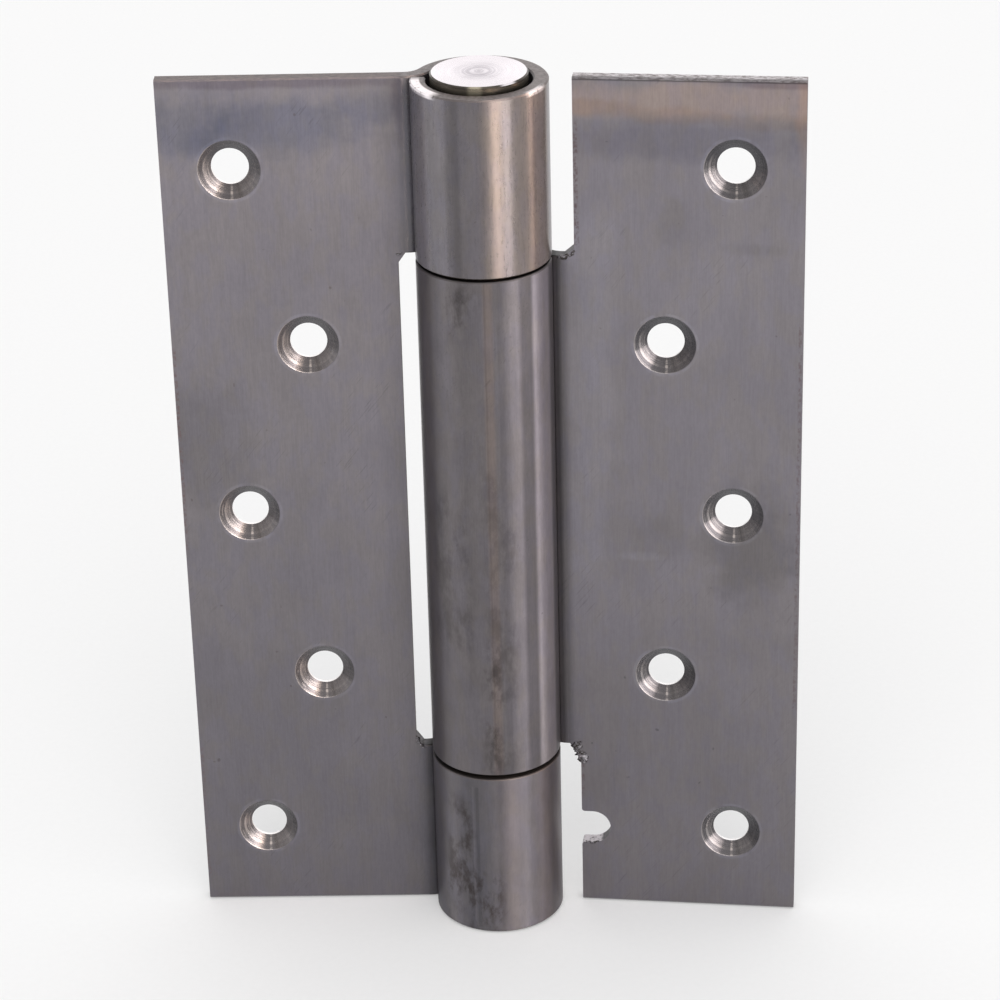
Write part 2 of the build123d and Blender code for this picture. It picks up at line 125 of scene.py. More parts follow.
class Shader:
    """A node material of one metal surface, written as expressions."""

    def __init__(self, name, metallic, anisotropic=0.0):
        self.material = bpy.data.materials.new(name)
        self.material.use_nodes = True
        self.tree = self.material.node_tree
        self.tree.nodes.clear()
        self.surface = self.tree.nodes.new("ShaderNodeBsdfPrincipled")
        self.surface.inputs["Metallic"].default_value = metallic
        self.surface.inputs["Anisotropic"].default_value = anisotropic
        output = self.tree.nodes.new("ShaderNodeOutputMaterial")
        self.tree.links.new(self.surface.outputs[0], output.inputs[0])
        coordinates = self.tree.nodes.new("ShaderNodeTexCoord")
        self.place = coordinates.outputs["Object"]
        self.normal = coordinates.outputs["Normal"]

    def put(self, socket, value):
        """Sets a socket to a number, a colour, a vector or another node's output."""
        if isinstance(value, bpy.types.NodeSocket):
            self.tree.links.new(value, socket)
        elif isinstance(value, (tuple, list, Vector)):
            socket.default_value = (list(value) + [1.0])[: len(socket.default_value)]
        else:
            socket.default_value = value

    def node(self, kind, inputs, settings=None, output=0):
        """A new node with its inputs, by name or place, and its settings."""
        made = self.tree.nodes.new("ShaderNode" + kind)
        for key, value in (settings or {}).items():
            setattr(made, key, value)
        for key, value in inputs.items():
            self.put(made.inputs[key], value)
        return made.outputs[output]

    def calc(self, operation, a, b=0.0):
        return self.node("Math", {0: a, 1: b}, {"operation": operation})

    def add(self, *terms):
        total = terms[0]
        for term in terms[1:]:
            total = self.calc("ADD", total, term)
        return total

    def times(self, *terms):
        product = terms[0]
        for term in terms[1:]:
            product = self.calc("MULTIPLY", product, term)
        return product

    def ramp(self, value, low, high, out_low=0.0, out_high=1.0):
        """Runs smoothly from out_low to out_high as value goes from low to high."""
        ends = {0: value, 1: low, 2: high, 3: out_low, 4: out_high}
        return self.node("MapRange", ends, {"interpolation_type": "SMOOTHSTEP"})

    def band(self, value, middle, half, soft):
        """One within half of the middle, and zero from soft beyond that."""
        away = self.calc("ABSOLUTE", self.calc("SUBTRACT", value, middle))
        return self.ramp(away, half, half + soft, 1.0, 0.0)

    def span(self, value, low, high, soft):
        """One from low to high, and zero from soft beyond them."""
        return self.band(value, (low + high) / 2, (high - low) / 2, soft)

    def without(self, share):
        return self.calc("SUBTRACT", 1.0, share)

    def mix(self, share, a, b):
        return self.node("Mix", {0: share, 6: a, 7: b}, {"data_type": "RGBA"}, output=2)

    def tinted(self, share, color, tint):
        """The colour multiplied by a tint, as far as the share goes."""
        product = self.node("VectorMath", {0: color, 1: tint}, {"operation": "MULTIPLY"})
        return self.mix(share, color, product)

    def noise(self, place, scale, detail=3.0, roughness=0.5, distortion=0.0, tilt=0.0):
        """Noise with a scale for each axis, in cells to the metre, tilted in the plate."""
        place = self.node("VectorRotate", {"Vector": place, "Angle": tilt}, {"rotation_type": "Y_AXIS"})
        place = self.node("Mapping", {"Vector": place, "Scale": scale})
        levels = {"Scale": 1.0, "Detail": detail, "Roughness": roughness, "Distortion": distortion}
        return self.node("TexNoise", {"Vector": place, **levels})

    def parts(self, vector):
        made = self.tree.nodes.new("ShaderNodeSeparateXYZ")
        self.put(made.inputs[0], vector)
        return made.outputs[0], made.outputs[1], made.outputs[2]

    def joined(self, x, y, z):
        return self.node("CombineXYZ", {0: x, 1: y, 2: z})

    def turned(self, vector, angle):
        inputs = {"Vector": vector, "Angle": angle}
        return self.node("VectorRotate", inputs, {"rotation_type": "Z_AXIS"})

    def distance(self, dx, dy):
        return self.calc("SQRT", self.add(self.times(dx, dx), self.times(dy, dy)))

    def bearing(self, x, y):
        """The angle round the pin axis, from the front toward the right."""
        return self.node("Math", {0: x, 1: self.times(y, -1.0)}, {"operation": "ARCTAN2"})

    def finish(self, color, roughness, height=None, depth=0.0, strength=0.3, tangent=None):
        self.put(self.surface.inputs["Base Color"], color)
        self.put(self.surface.inputs["Roughness"], roughness)
        if height is not None:
            relief = {"Height": height, "Strength": strength, "Distance": depth}
            self.put(self.surface.inputs["Normal"], self.node("Bump", relief))
        if tangent is not None:
            spaces = {"vector_type": "VECTOR", "convert_from": "OBJECT", "convert_to": "WORLD"}
            self.put(self.surface.inputs["Tangent"], self.node("VectorTransform", {0: tangent}, spaces))
        return self.material


# Colours of the metals
METAL_SHARE = 0.8
PLATE_DARK = (0.206, 0.197, 0.213)
PLATE_LIGHT = (0.244, 0.234, 0.251)
BARREL_TINT = (1.00, 0.985, 0.965)
STAIN = (0.058, 0.049, 0.049)
CUT_DULL = (0.050, 0.046, 0.048)
CUT_MIDDLE = (0.130, 0.120, 0.127)
# Painted highlight on upward cut faces and on the ridges of the burrs
CUT_HIGHLIGHT = (0.480, 0.450, 0.470)
# Painted highlight on the top shoulder of the knuckle
SHINE = (0.820, 0.785, 0.810)
TOP_DULL = (0.200, 0.174, 0.170)
# Painted highlight on the sprung leaf's top face
TOP_HIGHLIGHT = (0.680, 0.650, 0.670)
RING_DARK = (0.090, 0.080, 0.080)
RING_LIGHT = (0.190, 0.174, 0.175)
# Painted shade and painted highlight of the countersinks' turned cones
CONE_SHADED = (0.072, 0.070, 0.078)
CONE_LIT = (0.360, 0.335, 0.330)
NICK = (0.105, 0.070, 0.072)
# Painted highlight on the walls of the screw holes
LAND_HIGHLIGHT = (0.800, 0.780, 0.780)
STEEL_DARK = (0.160, 0.155, 0.160)
STEEL_LIGHT = (0.300, 0.290, 0.295)
BRONZE_DARK = (0.300, 0.180, 0.080)
BRONZE_LIGHT = (0.520, 0.340, 0.160)
PLUG_DARK = (0.400, 0.365, 0.400)
PLUG_LIGHT = (0.830, 0.780, 0.810)
# Painted glint on the plug's side
PLUG_SIDE_GLINT = (0.330, 0.295, 0.220)
# Dark oily colour of the plug's side, and painted shade on downward knuckle ends and in the burrs' creases
OIL_AND_SHADE = (0.045, 0.038, 0.034)
# Painted shadow in the joints between the knuckles
GAP_SHADE = (0.018, 0.016, 0.016)
FLOOR_DARK = (0.64, 0.64, 0.64)
FLOOR_LIGHT = (0.66, 0.66, 0.66)

# Tints that multiply a colour
COOL = (0.68, 0.73, 0.84)
CLOUD = (0.79, 0.80, 0.85)
# Painted highlight: pale patches on the plate and a ring round the countersinks
PALE_HIGHLIGHT = (1.15, 1.17, 1.20)
WARM = (1.38, 1.22, 1.07)
AMBER = (1.20, 1.06, 0.92)
RUST = (0.94, 0.86, 0.78)
LILAC = (0.98, 0.99, 1.05)
DULL = (0.77, 0.77, 0.75)
# Painted shade under the top edge and beside the knuckle
SHADE_TINT = (0.70, 0.66, 0.70)
# Painted warm reflection on the upper knuckle
TAN_REFLECTION = (1.00, 0.95, 0.86)
SLATE = (0.96, 0.99, 1.03)
COPPER = (1.18, 1.08, 0.99)
# Painted shade at the foot of the countersinks
CONE_FOOT_SHADE = (0.72, 0.69, 0.66)


def hole_centers(leaf):
    """The places of a leaf's screw holes, from the record's mounts."""
    places = []
    for name, mount in MOUNTS.items():
        if name.startswith(leaf) and "hole" in name:
            spacing = mount["dims"].get("spacing_y_mm", 0) * MM
            for step in (-0.5, 0.5) if spacing else (0,):
                places.append(Vector(mount["pos_m"]) + Vector((0, 0, step * spacing)))
    return places


class LeafShader(Shader):
    """The steel of one leaf, with its places measured as if the leaf lay flat."""

    def __init__(self, name, leaf, turn, marks):
        super().__init__(name, METAL_SHARE, anisotropic=0.8)
        self.marks = marks
        self.turn = turn
        self.place = self.turned(self.place, turn)
        self.x, self.y, self.z = self.parts(self.place)
        _, self.normal_y, self.normal_z = self.parts(self.turned(self.normal, turn))
        self.radius = self.distance(self.x, self.y)
        self.around = self.bearing(self.x, self.y)
        self.add_noises()
        self.add_shares(leaf)

    def add_noises(self):
        """The noises that several marks share."""
        fine = self.noise(self.place, (5200, 5200, 240), 2.0, 0.6)
        coarse = self.noise(self.place, (1300, 1300, 60), 3.0, 0.6)
        specks = self.noise(self.place, (2400, 2400, 1100), 3.0, 0.65)
        self.grain = self.add(self.times(fine, 0.35), self.times(coarse, 0.25), self.times(specks, 0.40))
        self.cloud = self.noise(self.place, (70, 70, 45), 4.0, 0.6, 0.5)
        self.wobble = self.calc("SUBTRACT", self.noise(self.place, (110, 110, 140), 3.0, 0.6), 0.5)
        self.wander = self.noise(self.place, (420, 420, 420), 2.0)
        self.spots = self.noise(self.place, (900, 900, 460), 4.0, 0.7)
        self.torn = self.noise(self.place, (1500, 1500, 1500), 4.0, 0.7)
        self.freckle = self.ramp(self.noise(self.place, (620, 620, 620), 1.0), 0.79, 0.84)

    def add_shares(self, leaf):
        """How far a place belongs to each region of the leaf, from zero to one."""
        self.barrel = self.ramp(self.radius, KNUCKLE_RADIUS + 0.6 * MM, KNUCKLE_RADIUS + 2.0 * MM, 1.0, 0.0)
        self.flat_plate = self.without(self.barrel)
        self.front = self.ramp(self.normal_y, 0.3, -0.3)
        self.to_hole, self.out_x, self.out_z = self.nearest_hole(leaf)
        inside = self.ramp(self.to_hole, COUNTERSINK_RADIUS - 0.06 * MM, COUNTERSINK_RADIUS, 1.0, 0.0)
        inside = self.times(inside, self.ramp(self.normal_y, 0.5, 0.8, 1.0, 0.0))
        self.cone = self.times(inside, self.ramp(self.normal_y, -0.97, -0.90))
        self.land = self.times(inside, self.ramp(self.normal_y, -0.40, -0.20))
        self.edge = self.ramp(self.calc("ABSOLUTE", self.normal_y), 0.3, 0.8, 1.0, 0.0)
        self.edge = self.times(self.edge, self.flat_plate, self.without(inside))
        self.upward = self.ramp(self.z, HEIGHT - 2 * MM, HEIGHT - 1 * MM)
        self.upward = self.times(self.ramp(self.normal_z, 0.5, 0.9), self.upward)
        self.bevel = self.band(self.calc("ABSOLUTE", self.normal_z), 0.60, 0.30, 0.08)
        self.bevel = self.times(self.bevel, self.barrel)
        steps = self.joined(self.times(self.to_hole, 1 / STEP_PITCH), self.times(self.wander, 1.2), 0.0)
        self.steps = self.ramp(self.noise(steps, (1, 1, 1), 3.0, 0.7), 0.32, 0.68)

    def nearest_hole(self, leaf):
        """How far the nearest screw hole's axis is, and the direction away from it."""
        nearest = None
        for center in hole_centers(leaf):
            flat = Matrix.Rotation(self.turn, 3, "Z") @ center
            dx = self.calc("SUBTRACT", self.x, flat.x)
            dz = self.calc("SUBTRACT", self.z, flat.z)
            away = self.distance(dx, dz)
            if nearest is None:
                nearest, off_x, off_z = away, dx, dz
                continue
            closer = self.calc("LESS_THAN", away, nearest)
            off_x = self.node("Mix", {0: closer, 2: off_x, 3: dx})
            off_z = self.node("Mix", {0: closer, 2: off_z, 3: dz})
            nearest = self.calc("MINIMUM", nearest, away)
        return nearest, self.calc("DIVIDE", off_x, nearest), self.calc("DIVIDE", off_z, nearest)

    def arc(self, middle, half, soft):
        """One within half of an angle round the pin axis; all three in degrees."""
        return self.band(self.around, radians(middle), radians(half), radians(soft))

    def knuckle_mark(self, low, high, middle, half, soft, fade=0.4 * MM):
        """One on a stretch of the barrel, between two heights and about an angle."""
        return self.times(self.arc(middle, half, soft), self.barrel, self.span(self.z, low, high, fade))

    def changed(self, shade, *share_and_change):
        """The shade lowered or raised by a change, as far as the share goes."""
        return self.times(shade, self.add(1.0, self.times(*share_and_change)))

    def plate_color(self):
        """Brushed steel, with slightly different hues from place to place, and patches of painted highlight
        and painted shade.
        """
        color = self.mix(self.ramp(self.grain, 0.30, 0.70), PLATE_DARK, PLATE_LIGHT)
        lilac = self.ramp(self.noise(self.place, (420, 420, 200), 2.0), 0.40, 0.60)
        color = self.tinted(lilac, color, LILAC)
        color = self.tinted(self.barrel, color, BARREL_TINT)
        # Some patches are painted highlights and some painted shade
        for tint, middle_x, middle_z, half_x, half_z, strength in self.marks["patches"]:
            across = self.times(self.calc("SUBTRACT", self.x, middle_x), 1 / half_x)
            along = self.times(self.calc("SUBTRACT", self.z, middle_z), 1 / half_z)
            away = self.add(self.distance(across, along), self.times(self.wobble, 1.6))
            share = self.times(self.ramp(away, 0.40, 1.20, strength, 0.0), self.flat_plate, self.front)
            color = self.tinted(share, color, tint)
        return self.tinted(1.0, color, self.marks["tone"])

    def plate_shade(self):
        """Darker toward the foot, by the knuckle and at the top, all painted shade, and in fine crossing
        scratches.
        """
        # Painted shade, darker toward the foot
        shade = self.ramp(self.z, -0.2 * HEIGHT, 0.9 * HEIGHT, 0.78, 1.0)
        shade = self.add(self.times(shade, self.flat_plate), self.barrel)
        shade = self.times(shade, self.ramp(self.cloud, 0.3, 0.7, 0.94, 1.05))
        # Painted shade in the crease beside the knuckle
        crease_shade = self.ramp(self.radius, KNUCKLE_RADIUS + 0.2 * MM, KNUCKLE_RADIUS + 0.8 * MM)
        near = self.ramp(self.radius, KNUCKLE_RADIUS + 1.2 * MM, KNUCKLE_RADIUS + 3.0 * MM, 1.0, 0.0)
        shade = self.changed(shade, crease_shade, near, self.front, -self.marks["crease_shade"])
        # Painted shadow under the top edge
        brow_shadow = self.band(self.z, HEIGHT - 0.2 * MM, 0.1 * MM, 0.3 * MM)
        shade = self.changed(shade, brow_shadow, self.front, self.flat_plate, -self.marks["brow_shadow"])
        scratch = self.noise(self.place, (4200, 4200, 260), 1.0, 0.5, 0.0, SCRATCH_TILT)
        scratch = self.ramp(scratch, 0.63, 0.72)
        return self.changed(shade, scratch, self.ramp(self.cloud, 0.52, 0.62), -0.16)

    def with_knuckle_reflections_and_marks(self, color, shade, rough):
        """Painted reflection bands, with polish in the roughness, hues, one a painted warm reflection, and
        stains round the knuckles, by the angle from the front.
        """
        # Painted reflections and shade in bands round the knuckles; the change of roughness is real polish
        for low, high, middle, half, soft, change, rougher in self.marks["reflection_and_polish_bands"]:
            here = self.knuckle_mark(low, high, middle, half, soft)
            shade = self.changed(shade, here, change)
            rough = self.add(rough, self.times(here, rougher))
        # Hues round the knuckles; the tan one is a painted warm reflection
        for low, high, middle, half, soft, tint in self.marks["hues"]:
            color = self.tinted(self.knuckle_mark(low, high, middle, half, soft), color, tint)
        mottle = self.calc("SUBTRACT", self.noise(self.place, (330, 330, 150), 5.0, 0.7), 0.5)
        shade = self.changed(shade, mottle, self.barrel, 0.5)
        blots = self.noise(self.place, (250, 250, 120), 2.0, 0.6)
        blots = self.ramp(self.add(self.times(self.spots, 0.55), self.times(blots, 0.75)), 0.56, 0.82)
        for low, high, middle, half, strength in self.marks["stains"]:
            here = self.knuckle_mark(low, high, middle, half, ANGLE_FADE, STAIN_FADE)
            color = self.mix(self.times(here, blots, strength), color, STAIN)
        pits = self.ramp(self.noise(self.place, (1500, 1500, 1100), 3.0, 0.6), 0.68, 0.80)
        color = self.mix(self.times(pits, self.barrel, 0.08), color, STAIN)
        color = self.mix(self.times(self.freckle, 0.4), color, STAIN)
        color = self.node("VectorMath", {0: color, "Scale": shade}, {"operation": "SCALE"})
        return color, rough

    def with_countersinks(self, color):
        """Countersinks: fine turned steps, with painted highlights at the lower left, a painted glint at
        the bottom and painted shade elsewhere.
        """
        out_x, out_z, steps = self.out_x, self.out_z, self.steps
        # Painted light: the cones bright toward the lower left, with painted fan glints at the lower right
        facing = self.add(self.times(out_x, -0.93), self.times(out_z, -0.37))
        rays = self.noise(self.joined(out_x, out_z, self.times(self.to_hole, 160)), (6, 6, 1), 2.0, 0.6)
        painted_glow = self.times(self.ramp(facing, 0.45, 1.0), self.add(0.10, self.times(steps, 0.75)))
        # A painted glint at the bottom of each cone
        painted_glint = self.times(self.band(out_x, 0.04, 0.02, 0.05), self.ramp(out_z, -0.5, -0.9), steps)
        low_right = self.ramp(self.add(self.times(out_x, 0.8), self.times(out_z, -0.6)), 0.2, 1.0)
        painted_glow = self.add(painted_glow, painted_glint, self.times(low_right, rays, 0.38))
        painted_glow = self.add(painted_glow, self.times(steps, 0.12), self.times(rays, 0.08))
        turned = self.mix(self.ramp(painted_glow, 0.0, 1.2), CONE_SHADED, CONE_LIT)
        # Painted shade at the foot of each cone
        foot = self.times(self.ramp(out_z, 0.0, -0.9), self.ramp(out_x, -0.8, -0.2))
        color = self.mix(self.cone, color, self.tinted(foot, turned, CONE_FOOT_SHADE))
        # Painted highlight on the hole's wall
        color = self.mix(self.land, color, LAND_HIGHLIGHT)
        # A pale ring round each countersink, a painted highlight
        halo = self.band(self.to_hole, COUNTERSINK_RADIUS + 0.25 * MM, 0.10 * MM, 0.30 * MM)
        halo = self.times(halo, self.ramp(self.wander, 0.35, 0.60), self.front)
        color = self.tinted(halo, color, PALE_HIGHLIGHT)
        # The rim: painted highlight on the side toward the light, painted shade on the other
        rim = self.band(self.to_hole, COUNTERSINK_RADIUS - 0.02 * MM, 0.03 * MM, 0.09 * MM)
        rim = self.times(rim, self.front)
        color = self.mix(self.times(rim, self.ramp(facing, -0.2, 0.8), 0.5), color, CONE_LIT)
        return self.mix(self.times(rim, self.ramp(facing, 0.2, -0.6), 0.6), color, CONE_SHADED)

    def with_cut_faces(self, color):
        """Cut faces: dull in the cut-outs, brighter along the top and in the notch, with painted highlights
        on upward faces and a painted shadow at the front of the top.
        """
        dull = self.mix(self.ramp(self.torn, 0.35, 0.65), CUT_DULL, CUT_MIDDLE)
        bright = self.mix(self.ramp(self.torn, 0.36, 0.50), CUT_MIDDLE, CUT_HIGHLIGHT)
        ring = self.mix(self.ramp(self.torn, 0.30, 0.70), RING_DARK, RING_LIGHT)
        color = self.mix(self.edge, color, dull)
        # Painted highlight on the upward faces in the notch
        from_middle = self.calc("ABSOLUTE", self.calc("SUBTRACT", self.z, NOTCH_LEVEL))
        in_notch = self.times(self.edge, self.band(from_middle, NOTCH_HALF, 0.3 * MM, 0.3 * MM))
        in_notch = self.times(in_notch, self.ramp(self.normal_z, 0.2, 0.7))
        in_notch = self.times(in_notch, self.ramp(self.radius, NOTCH_END, NOTCH_END + 2 * MM, 1.0, 0.0))
        color = self.mix(in_notch, color, bright)
        # The top faces; on the sprung leaf their bright colour is a painted highlight
        sheared = self.noise(self.place, (900, 3200, 900), 4.0, 0.7)
        top = self.mix(self.ramp(sheared, 0.38, 0.60), self.marks["top"][0], self.marks["top"][1])
        # Painted shadow on the front part of the top face
        brow_shadow = self.marks["brow_shadow"]
        near_front = self.ramp(self.y, PLATE_FRONT + 0.5 * MM, PLATE_FRONT + 1.1 * MM, brow_shadow, 0.0)
        top = self.mix(near_front, top, CUT_DULL)
        return self.mix(self.upward, color, self.mix(self.barrel, top, ring))

    def with_knuckle_ends(self, color):
        """The rounded ends of the knuckles: painted shade on them, darkest where they face down, painted
        shadow in the joints, and painted highlights here and there on the top shoulder.
        """
        # Painted shade on the rounded ends, darker where they face down
        color = self.mix(self.times(self.bevel, 0.75), color, RING_DARK)
        color = self.mix(self.times(self.bevel, self.ramp(self.normal_z, 0.0, -0.2)), color, OIL_AND_SHADE)
        # Painted shadow in the joints between the knuckles
        lower_joint = self.band(self.z, (LOWER_KNUCKLE_TOP + MIDDLE_BOTTOM) / 2, 0.42 * MM, 0.1 * MM)
        upper_joint = self.band(self.z, (MIDDLE_TOP + UPPER_BOTTOM) / 2, 0.22 * MM, 0.1 * MM)
        color = self.mix(self.times(self.add(lower_joint, upper_joint), self.barrel), color, GAP_SHADE)
        # Painted highlights on the top shoulder
        shoulder = self.times(self.barrel, self.ramp(self.z, HEIGHT - 0.8 * MM, HEIGHT - 0.5 * MM))
        for middle, half, width, strength in self.marks["shines"]:
            inner = KNUCKLE_RADIUS - width
            here = self.times(self.arc(middle, half, ANGLE_FADE), shoulder)
            here = self.times(here, self.ramp(self.radius, inner, inner + 0.3 * MM))
            here = self.times(here, self.ramp(self.spots, 0.32, 0.46), strength)
            color = self.mix(here, color, SHINE)
        return color

    def with_nicks(self, color):
        """Small nicks that a punch left along the edges of the plate."""
        swaying = self.add(self.x, self.times(self.wobble, 0.5 * MM))
        nick = self.ramp(self.noise(self.place, (1800, 1800, 1500), 3.0, 0.7), 0.42, 0.62)
        for line, low, high, strength in self.marks["nicks"]:
            along = self.span(self.z, low, high, 1.5 * MM)
            here = self.times(self.band(swaying, line, 0.16 * MM, 0.22 * MM), along)
            here = self.times(here, nick, self.without(self.edge), strength)
            color = self.mix(here, color, NICK)
        return color

    def relief(self):
        """Height of the brushing, the countersinks' steps and the torn edges."""
        brushed = self.times(self.grain, self.ramp(self.barrel, 0.0, 1.0, 0.25, 0.10))
        rough_cut = self.times(self.add(self.edge, self.upward), self.torn, 3.0)
        return self.add(brushed, self.times(self.cone, self.steps, 0.8), rough_cut)

    def highlight_direction(self):
        """Highlights stretch across the plate, along the knuckles and outward in the countersinks."""
        across = (cos(self.turn), -sin(self.turn), 0.0)
        ends = {0: self.barrel, 4: across, 5: (0.0, 0.0, 1.0)}
        tangent = self.node("Mix", ends, {"data_type": "VECTOR"}, output=1)
        outward = self.turned(self.joined(self.out_x, 0.0, self.out_z), -self.turn)
        ends = {0: self.cone, 4: tangent, 5: outward}
        return self.node("Mix", ends, {"data_type": "VECTOR"}, output=1)


def leaf_material(name, leaf, turn, marks):
    """Brushed plate with its rolled knuckles, countersinks and cut edges."""
    s = LeafShader(name, leaf, turn, marks)
    rough = s.ramp(s.grain, 0.30, 0.70, 0.37, 0.43)
    color, rough = s.with_knuckle_reflections_and_marks(s.plate_color(), s.plate_shade(), rough)
    color = s.with_countersinks(color)
    color = s.with_cut_faces(color)
    color = s.with_knuckle_ends(color)
    color = s.with_nicks(color)
    rough = s.add(rough, s.times(s.edge, 0.15), s.times(s.upward, 0.10), s.times(s.freckle, 0.1))
    rough = s.add(rough, s.times(s.cone, -0.12), s.times(s.bevel, 0.12))
    return s.finish(color, rough, s.relief(), RELIEF_DEPTH, 0.3, s.highlight_direction())


def turned_material(name, dark, light, side=None, rough=0.3, pitch=TURNING_PITCH, detail=3.0):
    """Metal turned about the pin axis, with concentric tool marks on its faces, and, with a side colour,
    painted glints on its side.
    """
    s = Shader(name, METAL_SHARE, anisotropic=0.7)
    x, y, z = s.parts(s.place)
    _, _, normal_z = s.parts(s.normal)
    radius = s.distance(x, y)
    flat = s.ramp(s.calc("ABSOLUTE", normal_z), 0.85, 0.98)
    wavy = s.times(s.noise(s.place, (160, 160, 160), 2.0), 0.8)
    rings = s.noise(s.joined(s.add(s.times(radius, 1 / pitch), wavy), 0.0, 0.0), (1, 1, 1), detail, 0.6)
    hoops = s.noise(s.joined(s.add(s.times(z, 1 / pitch), wavy), 0.0, 0.0), (1, 1, 1), 3.0, 0.7)
    marks = s.add(s.times(flat, rings), s.times(s.without(flat), hoops))
    cloud = s.noise(s.place, (220, 220, 220), 3.0, 0.6)
    tone = s.ramp(s.add(s.times(marks, 0.7), s.times(cloud, 0.3)), 0.3, 0.7)
    color = s.mix(tone, dark, light)
    if side is not None:
        around = s.bearing(x, y)
        middle = s.ramp(radius, 2 * MM, 5 * MM, 0.0, 0.8)
        color = s.mix(s.times(middle, flat), color, light)
        # Painted glints on the side: a coloured one at the front and a light one near the top edge
        painted_side_glint = s.add(s.band(around, radians(-4), radians(3), radians(8)), s.times(tone, 0.40))
        color = s.mix(flat, s.mix(painted_side_glint, OIL_AND_SHADE, side), color)
        painted_glint = s.band(around, radians(38), radians(4), radians(10))
        painted_glint = s.times(painted_glint, s.band(s.calc("ABSOLUTE", normal_z), 0.55, 0.25, 0.1))
        color = s.mix(painted_glint, color, light)
    roughness = s.ramp(marks, 0.3, 0.7, rough - 0.06, rough + 0.08)
    outward = s.node("VectorMath", {0: s.joined(x, y, 0.0)}, {"operation": "NORMALIZE"})
    ends = {0: flat, 4: (0.0, 0.0, 1.0), 5: outward}
    tangent = s.node("Mix", ends, {"data_type": "VECTOR"}, output=1)
    return s.finish(color, roughness, marks, RELIEF_DEPTH, 0.4, tangent)


def torn_material():
    """Torn metal at the corners that were cut by hand, creased, with painted shade in the creases and
    painted highlights on the ridges.
    """
    s = Shader("torn_steel", METAL_SHARE)
    lumps = s.noise(s.place, (1700, 1700, 1700), 4.0, 0.6)
    veins = s.noise(s.place, (1100, 1100, 1100), 2.0, 0.5, 1.0)
    color = s.mix(s.ramp(lumps, 0.42, 0.62), CUT_MIDDLE, PLATE_LIGHT)
    # Painted shade in the creases and painted highlights on the ridges
    color = s.mix(s.band(veins, 0.47, 0.015, 0.04), color, OIL_AND_SHADE)
    color = s.mix(s.ramp(veins, 0.58, 0.68), color, CUT_HIGHLIGHT)
    return s.finish(color, s.ramp(lumps, 0.3, 0.7, 0.35, 0.6), lumps, TORN_DEPTH, 0.4)


def floor_material():
    """Plain pale light table with a faint grain, which glows a little."""
    s = Shader("studio_floor", 0.0)
    grain = s.noise(s.place, (900, 900, 900), 2.0)
    color = s.mix(grain, FLOOR_DARK, FLOOR_LIGHT)
    s.put(s.surface.inputs["Emission Color"], color)
    s.surface.inputs["Emission Strength"].default_value = FLOOR_GLOW
    return s.finish(color, 0.9)


def paint(node, material):
    """Gives a CAD node its material."""
    slots = NODES[node].data.materials
    if len(slots) == 0:
        slots.append(material)
    for index in range(len(slots)):
        slots[index] = material


def spring_half(name, low, high):
    """The part of the spring between two heights, as a piece of its own with the CAD spring hidden; the
    spring twists from one body to the other.
    """
    piece = bpy.data.objects.new(name, NODES["torsion_spring"].data.copy())
    piece.data.transform(NODES["torsion_spring"].matrix_world)
    bpy.context.scene.collection.objects.link(piece)
    cut = bmesh.new()
    cut.from_mesh(piece.data)
    for height, outward in ((low, -1), (high, 1)):
        everything = cut.verts[:] + cut.edges[:] + cut.faces[:]
        level, up = (0, 0, height), (0, 0, outward)
        bmesh.ops.bisect_plane(cut, geom=everything, plane_co=level, plane_no=up, clear_outer=True)
    cut.to_mesh(piece.data)
    cut.free()
    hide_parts("torsion_spring")
    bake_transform(piece)


def add_spring():
    """The spring, which winds up, cut in two at the middle of its coil; in the hinge its lower tang turns
    with the adjuster and its upper one with the leaf.
    """
    middle = (COIL_BOTTOM + COIL_TOP) / 2
    spring_half("torsion_spring_lower", 0.0, middle)
    spring_half("torsion_spring_upper", middle, HEIGHT)


def route_points(route):
    """Points along a route, evenly spaced on each of its straight stretches."""
    points = []
    for start, end in zip(route, route[1:]):
        start, end = Vector(start), Vector(end)
        steps = max(2, round((end - start).length / MM * BURR_STEPS_PER_MM))
        points += [start.lerp(end, step / steps) for step in range(steps)]
    return points + [Vector(route[-1])]


def burr(name, body, leaf, route, thickness, spread, material, seed):
    """A ragged ridge of torn metal along a route on a leaf's front face."""
    turn = Matrix.Rotation(-REST_ANGLE if leaf == "sprung_leaf" else 0.0, 4, "Z")
    points = route_points(route)
    made = bmesh.new()
    rings = []
    for index, point in enumerate(points):
        before, after = points[max(index - 1, 0)], points[min(index + 1, len(points) - 1)]
        along = (after - before).normalized()
        out = Vector((0, -1, 0))
        side = along.cross(out).normalized()
        taper = min(1.0, 0.25 + min(index, len(points) - 1 - index) * 0.3)
        ring = []
        for corner in range(BURR_SIDES):
            angle = 2 * pi * corner / BURR_SIDES
            place = Vector((index * 0.35, cos(angle) * 0.9, sin(angle) * 0.9 + seed * 7.3))
            reach = thickness * taper * (0.75 + 1.1 * noise.noise(place))
            push = side * cos(angle) * spread + out * sin(angle)
            ring.append(made.verts.new(turn @ (point + push * reach)))
        rings.append(ring)
    for first, second in zip(rings, rings[1:]):
        for corner in range(BURR_SIDES):
            beside = (corner + 1) % BURR_SIDES
            made.faces.new((first[corner], first[beside], second[beside], second[corner]))
    made.faces.new(reversed(rings[0]))
    made.faces.new(rings[-1])
    bmesh.ops.recalc_face_normals(made, faces=made.faces)
    mesh = bpy.data.meshes.new(name)
    made.to_mesh(mesh)
    made.free()
    mesh.materials.append(material)
    mesh.shade_smooth()
    piece = bpy.data.objects.new(name, mesh)
    bpy.context.scene.collection.objects.link(piece)
    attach(piece, body)


